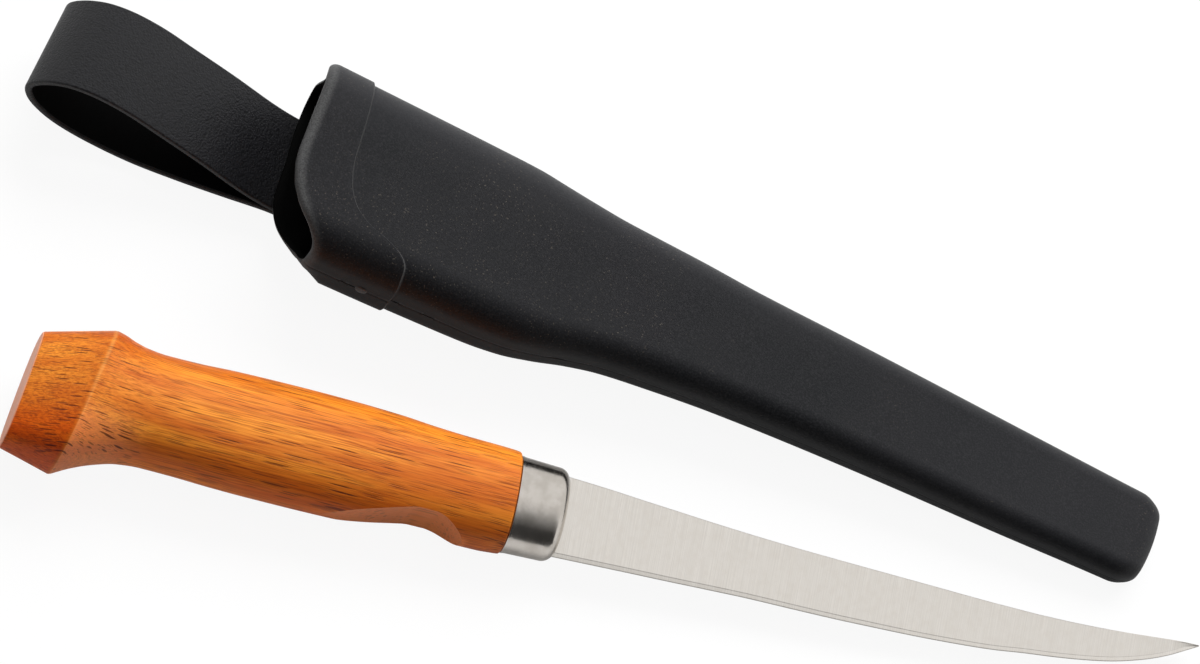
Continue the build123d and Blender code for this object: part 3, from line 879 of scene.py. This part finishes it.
def shell_loops(facing):
    """Loops of one half of the sheath, outside then inside, from the mouth to the tip."""
    start = half_section(*sheath_curve(0), facing, seam_depth)
    mouth = [mouth_at(across, up) for across, up in start]
    step = [step_curve(across)[0] for across, up in start]
    cavity_end = sheath_length - sheath_end_wall
    clean = lip_length + 0.8

    def loop(places, grow=0.0, cut=0.0, inner_cut=0.0, shut=False, roundness=0.0):
        """Loop at a place for each point. The outside grows and is cut back, and the inside is cut back
        and lies in the seam's plane where the end is shut. Roundness keeps a cut outside's corners."""
        outside, inside = [], []
        for j, place in enumerate(places):
            low, high, thickness, corner = sheath_curve(place)
            out = grow - cut
            radius = max(corner + out, min(corner, roundness * (thickness + 2 * out)))
            box = (low - out, high + out, thickness + 2 * out, radius)
            section = half_section(*box, facing, seam_depth, slit(place))
            outside.append(tucked(place, *section[j]))
            low, high, thickness, corner = sheath_curve(min(place, cavity_end))
            out = inner_cut - sheath_wall
            radius = max(corner + out, 0.2)
            section = half_section(low - out, high + out, thickness + 2 * out, radius, facing, 0.0)
            across, up = section[j]
            inside.append(tucked(place, across, 0.0 if shut else up))
        return outside + inside[::-1]

    def edge_highlight_and_dust(behind):
        """Painted highlight of a loop this far behind the lip, with some dust and wear on the lip: it fades
        behind the lip and stays as painted highlight on the top edge.
        """
        lip_highlight_and_dust = 1 - eased(behind, 0.35 * lip_length, clean)
        shares = [max(lip_highlight_and_dust, rim_highlight * eased(k, top_corner, top_corner + 10)) for k in range(len(mouth))]
        return shares + shares[::-1]

    # The rounded lip
    loops, highlight_and_wear = [], []
    for angle in spread(0, 90, lip_steps):
        turn = radians(angle)
        back = lip_length * (1 - cos(turn))
        cut = lip_outer_cut * (1 - sin(turn))
        inner_cut = lip_inner_cut * (1 - sin(turn))
        loops.append(loop([place + back for place in mouth], collar_step, cut, inner_cut))
        highlight_and_wear.append(edge_highlight_and_dust(back))

    # The collar, and its step down
    for share in spread(0, 1, 46)[1:]:
        places = [m + lip_length + share * (s - m - lip_length) for m, s in zip(mouth, step)]
        loops.append(loop(places, collar_step))
        highlight_and_wear.append(edge_highlight_and_dust(lip_length + 12 * share))
    for behind, share in ((0.1, 0.95), (0.2, 0.8), (0.35, 0.5), (0.5, 0.2), (0.6, 0.05), (step_length, 0.0)):
        loops.append(loop([place + behind for place in step], share * collar_step))
        # Painted highlight along the collar's step, stronger on its lower part
        step_highlight = [min(1.6 * share, 1) * (0.6 + 0.3 * eased(-across, 19, 24)) for across, up in start]
        highlight_and_wear.append(step_highlight + step_highlight[::-1])

    # The body, and the rounded tip
    for share in spread(0, 1, 70)[1:]:
        places = [s + step_length + share * (settle_place - s - step_length) for s in step]
        loops.append(loop(places))
        highlight_and_wear.append(edge_highlight_and_dust(clean))
    for place in spread(settle_place, sheath_length - tip_length, 160)[1:]:
        loops.append(loop([place] * len(mouth)))
        highlight_and_wear.append(edge_highlight_and_dust(clean))
    for angle in spread(6, 90, 22):
        turn = radians(angle)
        place = sheath_length - tip_length * (1 - sin(turn))
        cut = sheath_end_radius * (1 - cos(turn))
        inner_cut = min(0, sheath_wall - cut - tip_skin)
        loops.append(loop([place] * len(mouth), 0, cut, inner_cut, place > cavity_end, tip_roundness))
        # Painted highlight round the rim of the tip
        tip_highlight = rim_highlight * eased(angle, 10, 85)
        highlight_and_wear.append([max(share, tip_highlight) for share in edge_highlight_and_dust(clean)])
    return loops, highlight_and_wear


for side, facing, inside_from in (("front", 1, lip_steps), ("back", -1, 0)):
    loops, highlight_and_wear = shell_loops(facing)
    half_count = len(loops[0]) // 2
    inner_steps = range(half_count - 1, 2 * half_count - 1)
    shell = closed_mesh(f"sheath_{side}", loops, sheath_frame, True, inner_steps, inside_from, highlight_and_wear)
    # The inside of the shell gets the near-black copy of the plastic, painted shade
    dress(shell, plastic, "sheath", crease=50, second=shade_painted_inside)
    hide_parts(f"sheath_{side}_shell")

# Belt strap: points of its middle line in the sheath's own x and z
strap_width = 24.0
strap_skew = 0.085
strap_thickness = 1.8
strap_gap = 0.1
strap_lap = 44.0
strap_bend = 6.0
strap_rounding = 0.55
loop_reach = 63.7
loop_height = 27.0
loop_shares = [
    (0.124, 0.356), (0.310, 0.567), (0.496, 0.756), (0.608, 0.867), (0.702, 0.930), (0.792, 0.956),
    (0.878, 0.926), (0.949, 0.815), (0.992, 0.652), (0.980, 0.489), (0.930, 0.330), (0.837, 0.181),
    (0.704, 0.085), (0.527, 0.036), (0.350, 0.063), (0.175, 0.122),
]
upper_layer = -sheath_rows[0][3] / 2 - collar_step - strap_gap - strap_thickness / 2
lower_layer = upper_layer - strap_thickness - strap_gap


def over_surface(reach, height):
    """Point beyond the mouth, in the sheath's x and z, at a height above the surface."""
    dip = radians(sheath_dip)
    return -reach, (height - mouth_height - reach * sin(dip)) / cos(dip)


def through(points, each):
    """Smooth line through points, with a few steps between each two."""
    out = []
    for k in range(1, len(points) - 2):
        before, start, end, after = [Vector(p) for p in points[k - 1:k + 3]]
        for step in range(each):
            t = step / each
            a = 2 * start
            b = end - before
            c = 2 * before - 5 * start + 4 * end - after
            d = 3 * start - before - 3 * end + after
            out.append((a + b * t + c * t * t + d * t ** 3) / 2)
    out.append(Vector(points[-2]))
    return out


lap_places = (2 * strap_lap, strap_lap, strap_lap / 2, strap_bend, 0.0)
strap_line = [(place, upper_layer) for place in lap_places]
strap_line += [over_surface(reach * loop_reach, height * loop_height) for reach, height in loop_shares]
strap_line += [(place, lower_layer) for place in reversed(lap_places)]
middle_line = through(strap_line, 8)


def strap_section():
    """Rounded outline of the strap as (across, out)."""
    points = []
    for start, side, out in ((0, 1, 1), (90, -1, 1), (180, -1, -1), (270, 1, -1)):
        for angle in spread(start, start + 90, 6):
            turn = radians(angle)
            points.append((
                side * (strap_width / 2 - strap_rounding) + strap_rounding * cos(turn),
                out * (strap_thickness / 2 - strap_rounding) + strap_rounding * sin(turn),
            ))
    return points


back_step = 5
strap_rings = []
for k, point in enumerate(middle_line):
    ahead = middle_line[min(k + 1, len(middle_line) - 1)] - middle_line[max(k - 1, 0)]
    ahead.normalize()
    out = Vector((-ahead.y, ahead.x))
    skew = strap_skew * eased(-point.x, 30, 62)
    strap_rings.append([
        (point.x + out.x * up + skew * (across + strap_width / 2), across, point.y + out.y * up)
        for across, up in strap_section()
    ])
strap = closed_mesh("strap_loop", strap_rings, sheath_frame, inner=[back_step])
# The strap's back face gets the near-black copy of its material, painted shade
dress(strap, strap_finish, "sheath", crease=50, second=shade_painted_strap_back)
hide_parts("belt_strap")

# Pin in the seam, with a low domed head
pin_place = 25.7
pin_radius = 0.9
pin_head_radius = 1.5
pin_head_height = 0.35
pin_depth = 2.4
pin_edge = -27.9
pin_core = 0.2
pin_gap = 0.05
pin_sides = 40
pin_profile = [(pin_core, pin_depth), (pin_radius, pin_depth)]
pin_profile += [(pin_radius, pin_gap), (pin_head_radius, pin_gap)]
for angle in spread(0, 84, 12):
    turn = radians(angle)
    pin_profile.append((pin_head_radius * cos(turn), -pin_head_height * sin(turn)))
turns = [2 * pi * k / pin_sides for k in range(pin_sides)]
pin_rings = [
    [(pin_place + radius * cos(turn), pin_edge + inward, radius * sin(turn)) for turn in turns]
    for radius, inward in pin_profile
]
pin = closed_mesh("pin_head", pin_rings, sheath_frame)
dress(pin, pin_finish, "sheath", crease=40)
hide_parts("seam_pin")

# The hidden fasteners and the adhesive keep their solids and get their finish
hidden = {"strap_rivets": rivet_finish, "rivet_washers": rivet_finish, "tang_adhesive": resin_finish}
for node, finish in hidden.items():
    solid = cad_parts[node]
    solid.data.materials.clear()
    solid.data.materials.append(finish)

# Floor, world and lights
floor_half = 3.0
floor_drop = 0.0002
floor_mesh = bpy.data.meshes.new("floor")
corners = [(-1, -1), (1, -1), (1, 1), (-1, 1)]
floor_points = [(floor_half * x, floor_half * y, -floor_drop) for x, y in corners]
floor_mesh.from_pydata(floor_points, [], [(0, 1, 2, 3)])
floor = in_scene("floor", floor_mesh)

# White paper, most of it by its own light where it is seen, so that only the deeper shadows show
floor_material = bpy.data.materials.new("floor")
nodes = Nodes(floor_material)
camera_ray = nodes.add("ShaderNodeLightPath").outputs["Is Camera Ray"]
paper = nodes.add("ShaderNodeBsdfDiffuse")
nodes.link(nodes.ramp(camera_ray, 0, 1, 0.62, 0.86), paper.inputs["Color"])
white = nodes.add("ShaderNodeEmission")
share = nodes.maths("MULTIPLY", nodes.ramp(camera_ray, 0, 1, 0.24, 0.92), nodes.seen_directly())
nodes.end("ShaderNodeOutputMaterial", nodes.blend(share, paper, white))
floor_mesh.materials.append(floor_material)

# Faint light from all round, and white where the world itself is seen
world = bpy.data.worlds.new("studio")
bpy.context.scene.world = world
nodes = Nodes(world)
skies = []
for strength in (0.14, 1.0):
    sky = nodes.add("ShaderNodeBackground")
    sky.inputs["Color"].default_value = (1, 1, 1, 1)
    sky.inputs["Strength"].default_value = strength
    skies.append(sky)
nodes.end("ShaderNodeOutputWorld", nodes.blend(nodes.seen_directly(), *skies))


def softbox(name, place, target, size, power):
    """Area light that faces a target and shows neither to the camera nor in reflections."""
    light = bpy.data.lights.new(name, "AREA")
    light.shape = "RECTANGLE"
    light.size, light.size_y = size
    light.energy = power
    lamp = in_scene(name, light)
    lamp.location = place
    lamp.rotation_euler = (Vector(target) - Vector(place)).to_track_quat("-Z", "Y").to_euler()
    lamp.visible_camera = False
    lamp.visible_glossy = False


softbox("key", (0.1, 1.05, 1.1), (0, 0.02, 0), (1.6, 0.9), 41)
softbox("top", (0.1, 0.3, 1.7), (0, 0, 0), (1.2, 1.2), 6)

# Flag that arches over the front of the set, dark in front and white overhead. Only glossy surfaces
# show it. Its angles run from the top towards the front.
flag_radius = 1.8
flag_half = 3
flag_start = -18
flag_end = 90
flag_points = 57
flag_angles = [radians(angle) for angle in spread(flag_start, flag_end, flag_points)]
flag_arch = [(-flag_radius * sin(angle), flag_radius * cos(angle)) for angle in flag_angles]
flag_mesh = bpy.data.meshes.new("flag")
flag_mesh.from_pydata(
    [(x, y, z) for x in (-flag_half, flag_half) for y, z in flag_arch],
    [],
    [(k, k + 1, k + 1 + flag_points, k + flag_points) for k in range(flag_points - 1)],
)
flag = in_scene("flag", flag_mesh)
flag_material = bpy.data.materials.new("flag")
nodes = Nodes(flag_material)
axes = nodes.split(nodes.add("ShaderNodeTexCoord").outputs["Object"])
angle = nodes.maths("ARCTAN2", nodes.maths("MULTIPLY", axes[1], -1), axes[2])
fade = nodes.add("ShaderNodeValToRGB")
nodes.link(nodes.ramp(angle, radians(flag_start), radians(flag_end), shape="LINEAR"), fade.inputs[0])
levels = [
    (0.0, 1.0), (0.12, 0.8), (0.24, 0.42), (0.38, 0.2), (0.54, 0.05), (0.8, 0.045), (0.94, 0.06), (1.0, 0.12),
]
while len(fade.color_ramp.elements) < len(levels):
    fade.color_ramp.elements.new(0.5)
for element, (at, level) in zip(fade.color_ramp.elements, levels):
    element.position = at
    element.color = (level, level, level, 1)
glow = nodes.add("ShaderNodeEmission")
nodes.link(fade.outputs[0], glow.inputs["Color"])
nodes.end("ShaderNodeOutputMaterial", glow)
flag_mesh.materials.append(flag_material)
flag.visible_camera = False
flag.visible_diffuse = False
flag.visible_transmission = False
flag.visible_shadow = False

# Camera at the photograph's angle, far off with a long lens
camera_data = bpy.data.cameras.new("camera")
camera_data.lens = 880
camera_data.sensor_width = 36
camera = in_scene("camera", camera_data)
right = Vector((0.91898, 0.32740, 0.21974))
up = Vector((-0.38952, 0.84034, 0.37697))
back = Vector((-0.06123, -0.43202, 0.89978))
camera_turn = Matrix((right, up, back)).transposed().to_4x4()
camera.matrix_world = Matrix.Translation((-0.42588, -2.93323, 6.18140)) @ camera_turn
camera_data.clip_start = 0.1
camera_data.clip_end = 50
bpy.context.scene.camera = camera

bpy.context.scene.view_settings.view_transform = "Standard"
